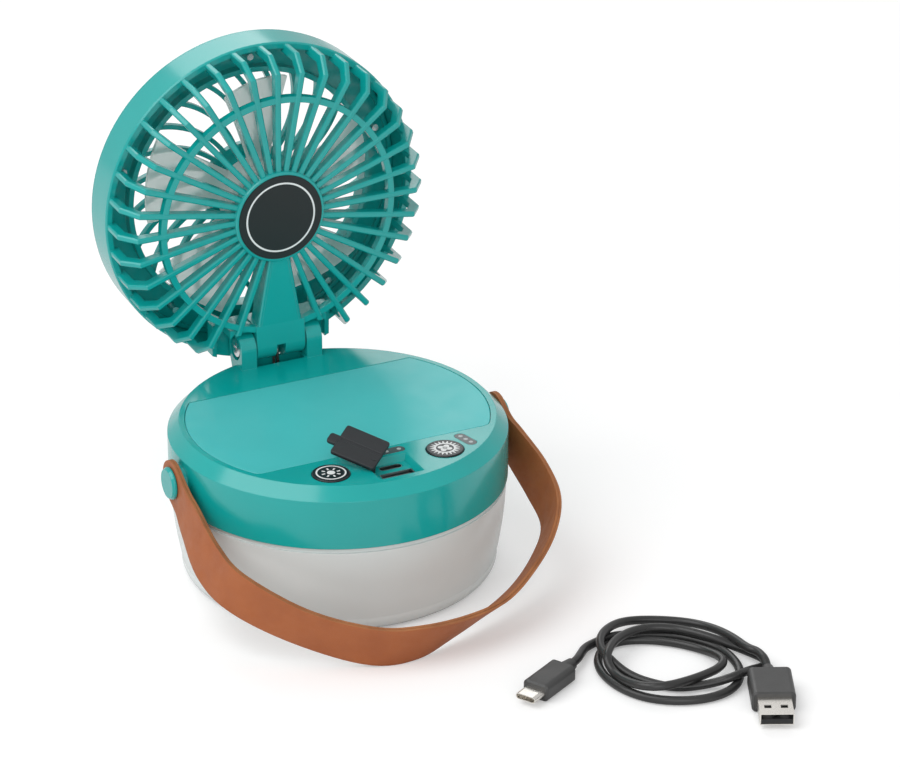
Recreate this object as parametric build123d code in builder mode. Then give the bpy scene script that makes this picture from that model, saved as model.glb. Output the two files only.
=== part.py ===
"""Portable camping fan: a lantern base with a folding fan head, a carrying strap and a loose charging lead.

Frame: origin at the middle of the base's underside, +Z up, controls at the front (-Y), hinge along X at the
back (+Y). Millimetres.
"""

import os
from math import cos, pi, radians, sin, sqrt, tan

from build123d import *

# ---------------------------------------------------------------- driving dimensions
# lantern base
base_r = 63.5
base_height = 60.6
rim_chamfer_r = 4.4
rim_chamfer_h = 4.6
edge_soft = 0.9
cover_h = 23.5
cover_wall = 2.2
cover_top = 3.4
fit_gap = 0.2

# lamp bowl, as insets from the base's radius
bowl_foot_inset = 8.9
bowl_low_inset = 4.1
bowl_low_z = 6.0
bowl_mid_inset = 2.2
bowl_mid_share = 0.47
bowl_high_inset = 0.6
bowl_lip_inset = 1.2
bowl_lip_h = 2.1
bowl_wall = 2.0
tongue_wall = 1.8
tongue_h = 3.4

# tinted plate on top and the solar cell below it
plate_inset = 6.7
plate_back_inset = 23.4
plate_front_inset = 31.0
plate_corner = 4.0
plate_t = 1.6
cell_t = 0.8
cell_inset = 3.0
plate_gap = 0.15

# push buttons
button_x = 22.9
button_inset = 19.6
button_r = 7.0
button_gap = 0.2
button_proud = 0.5
button_soft = 0.45
button_flange = 1.0
button_flange_t = 1.2
button_stem_r = 2.2
button_travel = 0.8

# charging recess, sockets and the rubber flap
recess_w = 17.6
recess_d = 16.0
recess_inset = 15.5
recess_depth = 2.6
recess_taper = 24
recess_floor_t = 2.4
recess_rim = 3.0
socket_x = 0.9
socket_set_in = 0.1
socket_foot_t = 2.0
usb_a_step = -2.6
usb_a_w = 13.1
usb_a_d = 5.7
usb_a_wall = 0.35
usb_a_bar_t = 1.9
usb_a_bar_step = 1.0
usb_c_step = 4.3
usb_c_w = 9.0
usb_c_d = 3.3
usb_c_wall = 0.3
usb_c_bar_w = 6.6
usb_c_bar_t = 0.7
flap_w = 17.2
flap_d = 15.4
flap_t = 1.5
flap_corner = 1.6
flap_rest_gap = 0.12
flap_tab_w = 5.0
flap_tab_l = 3.2
flap_tab_thin = 0.4
flap_pin_x = -6.8
flap_pin_step = 3.0
flap_pin_r = 1.2
flap_pin_gap = 0.08
flap_pin_proud = 0.1
flap_pin_tail = 1.5
flap_tilt = 11.7
flap_turn = 132.7
flap_lift = 1.8
flap_axis = Vector(0.0758, -0.1877, 0.979)

# indicator windows
window_w = 4.2
window_flange = 0.8
window_flange_t = 0.8
window_gap = 0.1
charge_x = 0.4
charge_step = 11.8
charge_window_l = 19.4
charge_leds = 4
charge_led_pitch = 5.0
speed_step_x = 10.5
speed_step_y = 4.2
speed_turn = -77.0
speed_window_l = 10.6
speed_leds = 3
speed_led_pitch = 3.0
light_pipe_r = 1.0
light_pipe_gap = 0.1
indicator_size = 1.6
indicator_h = 0.7

# inside the base
tray_gap = 1.1
tray_rise = 0.9
tray_t = 2.0
boss_inset = 11.7
boss_angles = [-15.6, 42.6, 137.4, 195.6]
boss_r = 3.6
boss_roof = 4.0
screw_r = 1.25
screw_head_r = 2.6
screw_head_t = 1.6
tray_screw_reach = 8.0
battery_r = 9.2
battery_l = 65.0
battery_y = 12.0
battery_soft = 0.8
battery_tip = 1.0
cradle_gap = 0.15
cradle_t = 2.4
cradle_h = 7.0
cradle_side = 1.6
board_inset = 8.0
board_depth = 26.5
board_drop = 16.2
board_t = 1.6
post_inset = 4.5
post_angles = [-40, -70, -110, -140]
post_r = 2.4
switch_w = 6.0
switch_h = 3.5
switch_pin_r = 1.7
switch_pin_h = 1.0
led_board_inset = 18.5
led_board_t = 1.6
led_count = 12
led_ring_inset = 9.0
led_size = 3.5
led_h = 1.0

# hinge
hinge_inset = 6.5
hinge_rise = 7.0
head_lean = 1.75
ear_inner = 10.5
ear_t = 6.3
ear_r = 6.4
hinge_bore_r = 1.5
hinge_running_gap = 0.08
hinge_head_r = 3.5
hinge_head_t = 1.6
hinge_cross_l = 4.2
hinge_cross_w = 0.9
hinge_cross_d = 0.7
hinge_recess_r = 4.7
hinge_recess_t = 2.0
hinge_screw_reach = 4.0
hinge_screw_spare = 0.6
knuckle_r = 6.0
knuckle_gap = 0.15
washer_r = 4.6
washer_t = 0.4
slot_w = 3.6
slot_floor_r = 2.2
slot_lap = 0.9
wire_r = 0.6
wire_x = 0.8
wire_tip_gap = 1.2
wire_tail = 3.0
ear_clearance = 0.8

# fan head, measured from the badge face backwards
fold_gap = 1.0
fold_offset = 3.0
head_inset = 0.2
head_depth = 34.8
band_front = 18.1
band_wall = 2.0
band_lip = 2.6
band_lip_t = 2.4
rear_rim = 2.3
parting_gap = 0.15
badge_r = 16.9
badge_t = 0.8
badge_gap = 0.1
badge_ring_r = 13.76
badge_ring_w = 0.7
badge_ring_t = 0.25
collar_wall = 1.3
collar_t = 5.2
rib_count = 36
rib_w = 2.3
rib_depth = 3.6
rib_face = 1.2
rib_inset = 0.6
rib_shoulder = 5.4
rib_chamfer_end = 8.5
rib_bevel = 0.5
ring_inset = 16.6
ring_w = 2.4
ring_t = 3.0
pillar_top_w = 6.0
pillar_low_w = 16.0
pillar_face = 1.0
pillar_depth = 9.0
pillar_lap = 1.4
pocket_gap = 1.4
pocket_wall = 1.8
pocket_depth = 13.0
pocket_spare = 0.3
pocket_flare = 4.4
pocket_flare_drop = 4.0
pocket_side_front = 10.0

# rear cover, motor and fan wheel
rear_t = 2.5
rear_open_inset = 15.3
rear_lip_h = 4.0
rear_lip_w = 2.0
rear_bars = 24
rear_bar_w = 1.8
rear_bar_sweep = 22
rear_screws = 5
rear_screw_r = 1.3
rear_screw_gap = 0.1
rear_screw_head_r = 2.3
rear_screw_head_t = 0.9
rear_screw_reach = 5.0
mount_r = 18.0
mount_hole_r = 3.0
motor_r = 12.2
motor_l = 12.3
motor_cup_h = 4.0
motor_cup_wall = 1.6
motor_boss_r = 3.1
motor_boss_l = 1.4
motor_screw_r = 1.0
motor_screw_x = 8.0
motor_screw_head_r = 1.9
motor_screw_head_t = 1.0
motor_screw_reach = 2.6
shaft_r = 1.0
shaft_gap = 0.05
shaft_start = 2.4
shaft_end = 1.0
hub_r = 14.4
hub_wall = 1.3
hub_front = 14.0
hub_depth = 13.0
hub_soft = 1.5
hub_core_r = 3.0
hub_core_l = 4.0
blade_count = 5
blade_tip_gap = 1.0
blade_t = 1.4
blade_mid = 22.6
blade_root_chord = 13.0
blade_tip_chord = 36.0
blade_root_pitch = 36.0
blade_tip_pitch = 18.0
blade_lead = 14.0
blade_start = 13.0
blade_corner = 6.0

# carrying strap
strap_w = 17.0
strap_t = 2.0
strap_gap = 0.8
strap_drop = 13.6
rivet_r = 2.4
rivet_gap = 0.08
rivet_inset = 7.0
rivet_cap_r = 6.1
rivet_cap_t = 1.7
rivet_cap_soft = 1.0
rivet_cap_gap = 0.2
rivet_boss_r = 4.6
pad_r = 6.4
pad_gap = 0.3

# loose charging lead, lying on the surface in front of the base
lead_d = 3.2
coil_centre = (73.0, -125.0)
coil_outer = (28.6, 30.6)
coil_inner = (14.0, 12.5)
coil_h = 6.4
coil_soft = 1.4
plug_c_front = (17.3, -127.7)
plug_c_heading = 29.4
plug_c_body = (18.7, 10.5, 6.6)
plug_c_shell = (6.2, 8.25, 2.5)
plug_c_wall = 0.35
plug_a_tip = (83.4, -183.8)
plug_a_heading = 65.0
plug_a_body = (19.0, 15.6, 8.0)
plug_a_shell = (11.8, 12.0, 4.5)
plug_a_wall = 0.35
plug_a_slot = (2.5, 2.2)
plug_a_slot_x = 2.9
plug_a_slot_back = 5.2
shell_foot = 0.8
neck_r = 2.9
neck_tip_r = 2.2
neck_l = 5.2
plug_edge = 1.9
plug_bevel = 0.6
floor_gap = 0.1

# ---------------------------------------------------------------- derived values
cover_bottom = base_height - cover_h
cover_inner_r = base_r - cover_wall
cover_under = base_height - cover_top
rim_top_r = base_r - rim_chamfer_r
rim_low_z = base_height - rim_chamfer_h

bowl_foot_r = base_r - bowl_foot_inset
bowl_low_r = base_r - bowl_low_inset
bowl_mid_r = base_r - bowl_mid_inset
bowl_high_r = base_r - bowl_high_inset
bowl_lip_r = base_r - bowl_lip_inset
bowl_high_z = cover_bottom - bowl_lip_h
bowl_mid_z = bowl_mid_share * bowl_high_z
tongue_r = cover_inner_r - fit_gap
tongue_inner_r = tongue_r - tongue_wall

hinge_y = base_r - hinge_inset
hinge_z = base_height + hinge_rise
ear_outer = ear_inner + ear_t
knuckle_half = ear_inner - washer_t - knuckle_gap

plate_r = base_r - plate_inset
plate_back = hinge_y - plate_back_inset
plate_front = plate_front_inset - base_r
seat_depth = plate_t + cell_t + 0.1

button_y = button_inset - base_r
recess_y = recess_inset - base_r
recess_floor = base_height - recess_depth
usb_a_y = recess_y + usb_a_step
usb_c_y = recess_y + usb_c_step
flap_pin_y = recess_y + flap_pin_step
charge_window = (charge_x, recess_y + charge_step, 0.0)
speed_window = (button_x + speed_step_x, button_y + speed_step_y, speed_turn)

tray_r = tongue_inner_r - tray_gap
tray_top = cover_bottom + tray_rise
tray_under = tray_top - tray_t
battery_z = tray_top + 2 * cradle_gap + battery_r
board_r = base_r - board_inset
board_edge_y = board_depth - board_r
board_z = base_height - board_drop
board_top = board_z + board_t
led_board_r = base_r - led_board_inset
led_ring_r = led_board_r - led_ring_inset

head_r = base_r - head_inset
head_reach = hinge_y - fold_offset
badge_forward = hinge_rise - fold_gap
collar_r = badge_r + collar_wall
rib_outer_r = head_r - rib_inset
rib_shoulder_r = rib_outer_r - rib_shoulder
ring_r = head_r - ring_inset
rear_rim_r = head_r - rib_inset
rear_open_r = head_r - rear_open_inset
blade_r = rear_open_r - blade_tip_gap
pocket_half = ear_outer + pocket_gap
pocket_low = sqrt(rib_outer_r**2 - pocket_half**2) - head_reach
pocket_front = badge_forward - sqrt((hinge_rise - pocket_spare)**2 - pocket_low**2)
pocket_side_half = pocket_half + pocket_flare
band_back = head_depth - rear_rim
rear_inside = head_depth - rear_t

strap_half = strap_w / 2
strap_side = base_r + strap_gap + strap_t
strap_pivot_z = base_height - strap_drop
rivet_inner_x = base_r - rivet_inset

lean = radians(head_lean)
face_normal = Vector(0, -cos(lean), -sin(lean))
face_up = Vector(0, -sin(lean), cos(lean))
hinge_point = Vector(0, hinge_y, hinge_z)
face = Plane(origin=hinge_point + face_up * head_reach + face_normal * badge_forward,
             x_dir=(1, 0, 0), z_dir=face_normal)
section = Plane(origin=face.origin, x_dir=(1, 0, 0), z_dir=face_up * -1)
face_axis = Axis(face.origin, face_normal)
boss_spots = [(cos(radians(a)) * (base_r - boss_inset), sin(radians(a)) * (base_r - boss_inset))
              for a in boss_angles]
post_spots = [(cos(radians(a)) * (board_r - post_inset), sin(radians(a)) * (board_r - post_inset))
              for a in post_angles]

os.makedirs("parts", exist_ok=True)


def save(piece, name):
    """Label the finished piece and write it as its own STEP file."""
    piece.part.label = name
    export_step(piece.part, f"parts/{name}.step")


def plate_outline(inset):
    """The D-shaped outline on the open sketch, pulled in by inset."""
    Circle(plate_r - inset)
    with Locations((0, (plate_back + plate_front) / 2)):
        Rectangle(2 * base_r, plate_back - plate_front - 2 * inset, mode=Mode.INTERSECT)
    front = [v for v in vertices() if v.Y < 0]
    fillet(front, plate_corner)


def window_outline(spot, length, grow):
    """A pill-shaped indicator outline at spot (x, y, turn), grown by grow all round."""
    with Locations(Location((spot[0], spot[1], 0), (0, 0, spot[2]))):
        SlotOverall(length + 2 * grow, window_w + 2 * grow)


def led_spots(spot, count, pitch):
    """Centres of the indicator lamps along a pill-shaped window."""
    turn = radians(spot[2])
    steps = [(i - (count - 1) / 2) * pitch for i in range(count)]
    return [(spot[0] + s * cos(turn), spot[1] + s * sin(turn)) for s in steps]


all_led_spots = led_spots(charge_window, charge_leds, charge_led_pitch)
all_led_spots += led_spots(speed_window, speed_leds, speed_led_pitch)
button_spots = [(-button_x, button_y), (button_x, button_y)]

# the flap turns and lifts on a slightly tilted pin: its plane at rest, and the pin's own plane
flap_dir = flap_axis.normalized()
flap_turn_axis = Axis((0, 0, 0), flap_dir)
flap_under = base_height + flap_rest_gap
flap_pivot = Vector(flap_pin_x, flap_pin_y, flap_under)
flap_plane = Plane(origin=flap_pivot + flap_dir * flap_lift,
                   x_dir=Vector(1, 0, 0).rotate(flap_turn_axis, flap_turn),
                   z_dir=Vector(0, 0, 1).rotate(flap_turn_axis, flap_turn))
pin_plane = Plane(origin=flap_pivot + flap_dir * flap_lift, x_dir=(1, 0, 0), z_dir=flap_dir)
flap_middle = (-flap_pin_x, recess_y - flap_pin_y)

# ---------------------------------------------------------------- top cover
ear_foot_z = rim_low_z + 1.0
ear_foot_back = sqrt(base_r**2 - ear_outer**2) - 1.5
wire_hole_front = hinge_y - 5.2
wire_hole_back = hinge_y + 0.8
wire_hole_w = 2 * ear_inner - 0.8
boss_low = tray_top
rim_blend = 0.6

with BuildPart() as top_cover:
    with BuildSketch(Plane.XZ):
        with BuildLine():
            Polyline((0, cover_bottom), (base_r, cover_bottom), (base_r, rim_low_z),
                     (rim_top_r, base_height), (0, base_height), close=True)
        make_face()
        rim = [v for v in vertices() if v.X > 1 and v.Z > cover_bottom + 1]
        fillet(rim, edge_soft)
    revolve(axis=Axis.Z)
    # ears of the hinge, rounded over the hinge line
    for side in (-1, 1):
        with BuildSketch(Plane.YZ.offset(side * (ear_inner + ear_t / 2))):
            with Locations((hinge_y, hinge_z)):
                Circle(ear_r)
            with BuildLine():
                Line((hinge_y - ear_r, ear_foot_z), (ear_foot_back, ear_foot_z))
            make_hull()
        extrude(amount=ear_t / 2, both=True)
    # flat pads and inner bosses for the strap rivets
    for side in (-1, 1):
        pad_plane = Plane(origin=(side * rivet_inner_x, 0, strap_pivot_z), x_dir=(0, 1, 0),
                          z_dir=(side, 0, 0))
        with BuildSketch(pad_plane):
            Circle(pad_r)
        extrude(amount=strap_side - strap_t / 2 - pad_gap - rivet_inner_x)
    # hollow
    with BuildSketch(Plane.XZ):
        with BuildLine():
            Polyline((0, cover_bottom), (cover_inner_r, cover_bottom), (cover_inner_r, rim_low_z - 1.0),
                     (rim_top_r - cover_wall + rim_blend, cover_under), (0, cover_under), close=True)
        make_face()
    revolve(axis=Axis.Z, mode=Mode.SUBTRACT)
    for side in (-1, 1):
        rivet_plane = Plane(origin=(side * rivet_inner_x, 0, strap_pivot_z), x_dir=(0, 1, 0),
                            z_dir=(side, 0, 0))
        with BuildSketch(rivet_plane):
            Circle(rivet_boss_r)
        extrude(until=Until.NEXT)
        with BuildSketch(rivet_plane):
            Circle(rivet_r)
        extrude(amount=base_r, mode=Mode.SUBTRACT)
    # screw bosses that the tray is drawn up against
    with BuildSketch(Plane.XY.offset(boss_low)):
        with Locations(*boss_spots):
            Circle(boss_r)
    extrude(amount=cover_under - boss_low)
    with BuildSketch(Plane.XY.offset(boss_low)):
        with Locations(*boss_spots):
            Circle(screw_r)
    extrude(amount=cover_under - boss_low - boss_roof, mode=Mode.SUBTRACT)
    # seat of the tinted plate and, below it, of the cell
    with BuildSketch(Plane.XY.offset(base_height)):
        plate_outline(-plate_gap)
    extrude(amount=-plate_t, mode=Mode.SUBTRACT)
    with BuildSketch(Plane.XY.offset(base_height)):
        plate_outline(cell_inset - plate_gap)
    extrude(amount=-seat_depth, mode=Mode.SUBTRACT)
    # well for the sockets, with sloping walls and a thickened floor
    with BuildSketch(Plane.XY.offset(cover_under)):
        with Locations((0, recess_y)):
            RectangleRounded(recess_w + recess_rim, recess_d, recess_rim / 2)
    extrude(amount=recess_floor - recess_floor_t - cover_under)
    with BuildSketch(Plane.XY.offset(base_height)):
        with Locations((0, recess_y)):
            Rectangle(recess_w, recess_d)
    extrude(amount=-recess_depth, taper=recess_taper, mode=Mode.SUBTRACT)
    with BuildSketch(Plane.XY.offset(base_height)):
        with Locations((socket_x, usb_a_y)):
            Rectangle(usb_a_w + fit_gap, usb_a_d + fit_gap)
        with Locations((socket_x, usb_c_y)):
            RectangleRounded(usb_c_w + fit_gap, usb_c_d + fit_gap, usb_c_d / 2)
    extrude(amount=-(recess_depth + recess_floor_t + 1), mode=Mode.SUBTRACT)
    with BuildSketch(pin_plane):
        Circle(flap_pin_r + flap_pin_gap)
    extrude(amount=-(flap_lift + recess_depth + recess_floor_t + flap_pin_tail + 1), mode=Mode.SUBTRACT)
    # buttons and indicator windows
    with BuildSketch(Plane.XY.offset(base_height)):
        with Locations(*button_spots):
            Circle(button_r + button_gap)
        window_outline(charge_window, charge_window_l, window_gap)
        window_outline(speed_window, speed_window_l, window_gap)
    extrude(amount=-cover_top, mode=Mode.SUBTRACT)
    # way through for the hinge wires
    with BuildSketch(Plane.XY.offset(base_height)):
        with Locations((0, (wire_hole_front + wire_hole_back) / 2)):
            RectangleRounded(wire_hole_w, wire_hole_back - wire_hole_front, 1.0)
    extrude(amount=-cover_top, mode=Mode.SUBTRACT)
    # bores and counterbores in the ears
    for side in (-1, 1):
        ear_plane = Plane(origin=(side * ear_outer, hinge_y, hinge_z), x_dir=(0, 1, 0), z_dir=(side, 0, 0))
        with BuildSketch(ear_plane):
            Circle(hinge_recess_r)
        extrude(amount=-hinge_recess_t, mode=Mode.SUBTRACT)
        with BuildSketch(ear_plane):
            Circle(hinge_bore_r)
        extrude(amount=-ear_t, mode=Mode.SUBTRACT)
save(top_cover, "top_cover")

# ---------------------------------------------------------------- tinted plate and solar cell
with BuildPart() as top_plate:
    with BuildSketch(Plane.XY.offset(base_height)):
        plate_outline(0)
    extrude(amount=-plate_t)
    chamfer(top_plate.faces().sort_by(Axis.Z)[-1].edges(), 0.25)
save(top_plate, "top_plate")

with BuildPart() as solar_cell:
    with BuildSketch(Plane.XY.offset(base_height - plate_t)):
        plate_outline(cell_inset)
    extrude(amount=-cell_t)
save(solar_cell, "solar_cell")

# ---------------------------------------------------------------- lamp bowl
with BuildPart() as lamp_bowl:
    with BuildSketch(Plane.XZ):
        with BuildLine():
            foot = Line((0, 0), (bowl_foot_r, 0))
            heel = TangentArc(foot @ 1, (bowl_low_r, bowl_low_z), tangent=(1, 0))
            side = ThreePointArc(heel @ 1, (bowl_mid_r, bowl_mid_z), (bowl_high_r, bowl_high_z))
            Polyline(side @ 1, (bowl_lip_r, bowl_high_z), (bowl_lip_r, cover_bottom), (tongue_r, cover_bottom),
                     (tongue_r, cover_bottom + tongue_h), (tongue_inner_r, cover_bottom + tongue_h),
                     (tongue_inner_r, bowl_high_z - bowl_wall), (bowl_high_r - bowl_wall, bowl_high_z - 2 * bowl_wall))
            inside = ThreePointArc((bowl_high_r - bowl_wall, bowl_high_z - 2 * bowl_wall),
                                   (bowl_mid_r - bowl_wall, bowl_mid_z), (bowl_low_r - bowl_wall, bowl_low_z + bowl_wall))
            TangentArc(inside @ 1, (bowl_foot_r - bowl_wall, bowl_wall), tangent=(inside % 1))
            Polyline((bowl_foot_r - bowl_wall, bowl_wall), (0, bowl_wall), (0, 0))
        make_face()
    revolve(axis=Axis.Z)
save(lamp_bowl, "lamp_bowl")

# ---------------------------------------------------------------- tray with battery cradle and board posts
cradle_x = [-battery_l * 0.37, 0.0, battery_l * 0.37]

with BuildPart() as inner_tray:
    with BuildSketch(Plane.XY.offset(tray_top)):
        Circle(tray_r)
        with Locations(*boss_spots):
            Circle(screw_r + fit_gap, mode=Mode.SUBTRACT)
    extrude(amount=-tray_t)
    with BuildSketch(Plane.XY.offset(tray_top)):
        with Locations(*post_spots):
            Circle(post_r)
    extrude(amount=board_z - tray_top)
    with BuildSketch(Plane.XY.offset(tray_top)):
        with Locations(*[(x, battery_y) for x in cradle_x]):
            Rectangle(cradle_t, 2 * (battery_r + cradle_side))
    extrude(amount=cradle_h)
    with BuildSketch(Plane.YZ):
        with Locations((battery_y, battery_z)):
            Circle(battery_r + cradle_gap)
    extrude(amount=battery_l, both=True, mode=Mode.SUBTRACT)
save(inner_tray, "inner_tray")

with BuildPart() as battery:
    with BuildSketch(Plane.YZ):
        with Locations((battery_y, battery_z)):
            Circle(battery_r)
    extrude(amount=battery_l / 2, both=True)
    chamfer(battery.edges().filter_by(GeomType.CIRCLE), battery_soft)
    with BuildSketch(Plane.YZ.offset(battery_l / 2)):
        with Locations((battery_y, battery_z)):
            Circle(battery_r / 3)
    extrude(amount=battery_tip)
save(battery, "battery")

with BuildPart() as tray_screws:
    with BuildSketch(Plane.XY.offset(tray_under)):
        with Locations(*boss_spots):
            Circle(screw_head_r)
    extrude(amount=-screw_head_t)
    with BuildSketch(Plane.XY.offset(tray_under)):
        with Locations(*boss_spots):
            Circle(screw_r)
    extrude(amount=tray_t + tray_screw_reach)
save(tray_screws, "tray_screws")

# ---------------------------------------------------------------- lamp board and lamps
with BuildPart() as lamp_board:
    with BuildSketch(Plane.XY.offset(tray_under)):
        Circle(led_board_r)
        Circle(led_board_r / 3, mode=Mode.SUBTRACT)
    extrude(amount=-led_board_t)
save(lamp_board, "lamp_board")

with BuildPart() as lamps:
    with BuildSketch(Plane.XY.offset(tray_under - led_board_t)):
        with PolarLocations(led_ring_r, led_count):
            Rectangle(led_size, led_size)
    extrude(amount=-led_h)
save(lamps, "lamps")

# ---------------------------------------------------------------- control board, switches, indicator lamps
with BuildPart() as control_board:
    with BuildSketch(Plane.XY.offset(board_z)):
        Circle(board_r)
        with Locations((0, board_edge_y + board_r)):
            Rectangle(2 * board_r, 2 * board_r, mode=Mode.SUBTRACT)
    extrude(amount=board_t)
save(control_board, "control_board")

with BuildPart() as switches:
    with BuildSketch(Plane.XY.offset(board_top)):
        with Locations(*button_spots):
            Rectangle(switch_w, switch_w)
    extrude(amount=switch_h)
    with BuildSketch(Plane.XY.offset(board_top + switch_h)):
        with Locations(*button_spots):
            Circle(switch_pin_r)
    extrude(amount=switch_pin_h)
save(switches, "switches")

with BuildPart() as indicator_lamps:
    with BuildSketch(Plane.XY.offset(board_top)):
        with Locations(*all_led_spots):
            Rectangle(indicator_size, indicator_size)
    extrude(amount=indicator_h)
save(indicator_lamps, "indicator_lamps")

# ---------------------------------------------------------------- indicator windows with light pipes
for name, spot, length, count, pitch in (("charge_window", charge_window, charge_window_l, charge_leds,
                                          charge_led_pitch),
                                         ("speed_window", speed_window, speed_window_l, speed_leds,
                                          speed_led_pitch)):
    with BuildPart() as window:
        with BuildSketch(Plane.XY.offset(cover_under)):
            window_outline(spot, length, 0)
        extrude(amount=cover_top)
        with BuildSketch(Plane.XY.offset(cover_under)):
            window_outline(spot, length, window_flange)
        extrude(amount=-window_flange_t)
        with BuildSketch(Plane.XY.offset(cover_under - window_flange_t)):
            with Locations(*led_spots(spot, count, pitch)):
                Circle(light_pipe_r)
        extrude(amount=-(cover_under - window_flange_t - board_top - indicator_h - light_pipe_gap))
    save(window, name)

# ---------------------------------------------------------------- push buttons
button_top = base_height + button_proud
flange_top = cover_under - fit_gap
stem_low = board_top + switch_h + switch_pin_h + button_travel + 0.1

for name, x in (("light_button", -button_x), ("fan_button", button_x)):
    with BuildPart() as button:
        with BuildSketch(Plane.XY.offset(flange_top)):
            with Locations((x, button_y)):
                Circle(button_r)
        extrude(amount=button_top - flange_top)
        fillet(button.edges().group_by(Axis.Z)[-1], button_soft)
        with BuildSketch(Plane.XY.offset(flange_top)):
            with Locations((x, button_y)):
                Circle(button_r + button_flange)
        extrude(amount=-button_flange_t)
        with BuildSketch(Plane.XY.offset(flange_top - button_flange_t)):
            with Locations((x, button_y)):
                Circle(button_stem_r)
        extrude(amount=stem_low - flange_top + button_flange_t)
    save(button, name)

# ---------------------------------------------------------------- charging sockets, mouths upward
socket_top = recess_floor - socket_set_in
socket_foot = board_top + socket_foot_t

with BuildPart() as usb_a_socket:
    with BuildSketch(Plane.XY.offset(board_top)):
        with Locations((socket_x, usb_a_y)):
            Rectangle(usb_a_w, usb_a_d)
    extrude(amount=socket_top - board_top)
    with BuildSketch(Plane.XY.offset(socket_foot)):
        with Locations((socket_x, usb_a_y)):
            Rectangle(usb_a_w - 2 * usb_a_wall, usb_a_d - 2 * usb_a_wall)
    extrude(amount=socket_top - board_top, mode=Mode.SUBTRACT)
    with BuildSketch(Plane.XY.offset(socket_foot)):
        with Locations((socket_x, usb_a_y + usb_a_bar_step)):
            Rectangle(usb_a_w - 5 * usb_a_wall, usb_a_bar_t)
    extrude(amount=socket_top - socket_foot - 1.0)
save(usb_a_socket, "usb_a_socket")

with BuildPart() as usb_c_socket:
    with BuildSketch(Plane.XY.offset(board_top)):
        with Locations((socket_x, usb_c_y)):
            SlotOverall(usb_c_w, usb_c_d)
    extrude(amount=socket_top - board_top)
    with BuildSketch(Plane.XY.offset(socket_foot)):
        with Locations((socket_x, usb_c_y)):
            SlotOverall(usb_c_w - 2 * usb_c_wall, usb_c_d - 2 * usb_c_wall)
    extrude(amount=socket_top - board_top, mode=Mode.SUBTRACT)
    with BuildSketch(Plane.XY.offset(socket_foot)):
        with Locations((socket_x, usb_c_y)):
            Rectangle(usb_c_bar_w, usb_c_bar_t)
    extrude(amount=socket_top - socket_foot - 0.8)
save(usb_c_socket, "usb_c_socket")

# ---------------------------------------------------------------- rubber flap and its pin
with BuildPart() as usb_flap:
    with BuildSketch(flap_plane):
        with Locations(flap_middle):
            RectangleRounded(flap_w, flap_d, flap_corner)
    extrude(amount=flap_t)
    with BuildSketch(flap_plane):
        with Locations((flap_middle[0] + flap_w / 2, flap_middle[1] + flap_d / 4)):
            RectangleRounded(2 * flap_tab_l, flap_tab_w, 1.2)
    extrude(amount=flap_t - flap_tab_thin)
    with BuildSketch(pin_plane):
        Circle(flap_pin_r + flap_pin_gap)
    extrude(amount=3 * flap_t, both=True, mode=Mode.SUBTRACT)
save(usb_flap, "usb_flap")

pin_top = flap_t / cos(radians(flap_tilt)) + flap_pin_proud
pin_low = flap_lift + recess_depth + recess_floor_t + flap_pin_tail
with BuildPart() as flap_pin:
    with BuildSketch(pin_plane.offset(-pin_low)):
        Circle(flap_pin_r)
    extrude(amount=pin_low + pin_top)
save(flap_pin, "flap_pin")

# ---------------------------------------------------------------- hinge screws, washers and wires
with BuildPart() as hinge_screws:
    for side in (-1, 1):
        head_plane = Plane(origin=(side * (ear_outer - hinge_recess_t), hinge_y, hinge_z), x_dir=(0, 1, 0),
                           z_dir=(side, 0, 0))
        with BuildSketch(head_plane):
            Circle(hinge_head_r)
        extrude(amount=hinge_head_t)
        with BuildSketch(head_plane):
            Circle(hinge_bore_r)
        extrude(amount=-(ear_outer - hinge_recess_t - hinge_screw_reach))
        with BuildSketch(head_plane.offset(hinge_head_t)):
            Rectangle(hinge_cross_l, hinge_cross_w)
            Rectangle(hinge_cross_w, hinge_cross_l)
        extrude(amount=-hinge_cross_d, mode=Mode.SUBTRACT)
save(hinge_screws, "hinge_screws")

with BuildPart() as hinge_washers:
    for side in (-1, 1):
        with BuildSketch(Plane(origin=(side * ear_inner, hinge_y, hinge_z), x_dir=(0, 1, 0), z_dir=(side, 0, 0))):
            Circle(washer_r)
            Circle(hinge_bore_r, mode=Mode.SUBTRACT)
        extrude(amount=-washer_t)
save(hinge_washers, "hinge_washers")

wire_top = hinge_z - slot_floor_r - wire_tip_gap
wire_low = cover_under - wire_tail
with BuildPart() as hinge_wires:
    with BuildSketch(Plane.XY.offset(wire_low)):
        with Locations((-wire_x, hinge_y), (wire_x, hinge_y)):
            Circle(wire_r)
    extrude(amount=wire_top - wire_low)
save(hinge_wires, "hinge_wires")

# ---------------------------------------------------------------- front grille, band, pillar and knuckle
rib_in = collar_r - 1.5
rib_foot = band_front + band_lip_t

with BuildPart() as rib:
    with BuildSketch(Plane.XZ):
        with BuildLine():
            Polyline((rib_in, -rib_face), (rib_shoulder_r, -rib_face), (rib_outer_r, -rib_chamfer_end),
                     (rib_outer_r, -rib_foot), (rib_outer_r - rib_depth, -rib_foot),
                     (rib_outer_r - rib_depth, -rib_chamfer_end - 1.2),
                     (rib_shoulder_r - 1.6, -rib_face - rib_depth), (rib_in, -rib_face - rib_depth), close=True)
        make_face()
    extrude(amount=rib_w / 2, both=True)
    outer_edges = rib.edges().filter_by(lambda e: abs(abs(e.center().Y) - rib_w / 2) < 0.01)
    front_edges = [e for e in outer_edges if e.center().Z > -rib_face - 0.1 or e.center().X > rib_outer_r - 3]
    chamfer(front_edges, rib_bevel)

knuckle_v = -head_reach
pocket_roof = knuckle_v + ear_r + ear_clearance
pillar_low_v = pocket_roof + pillar_lap

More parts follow.
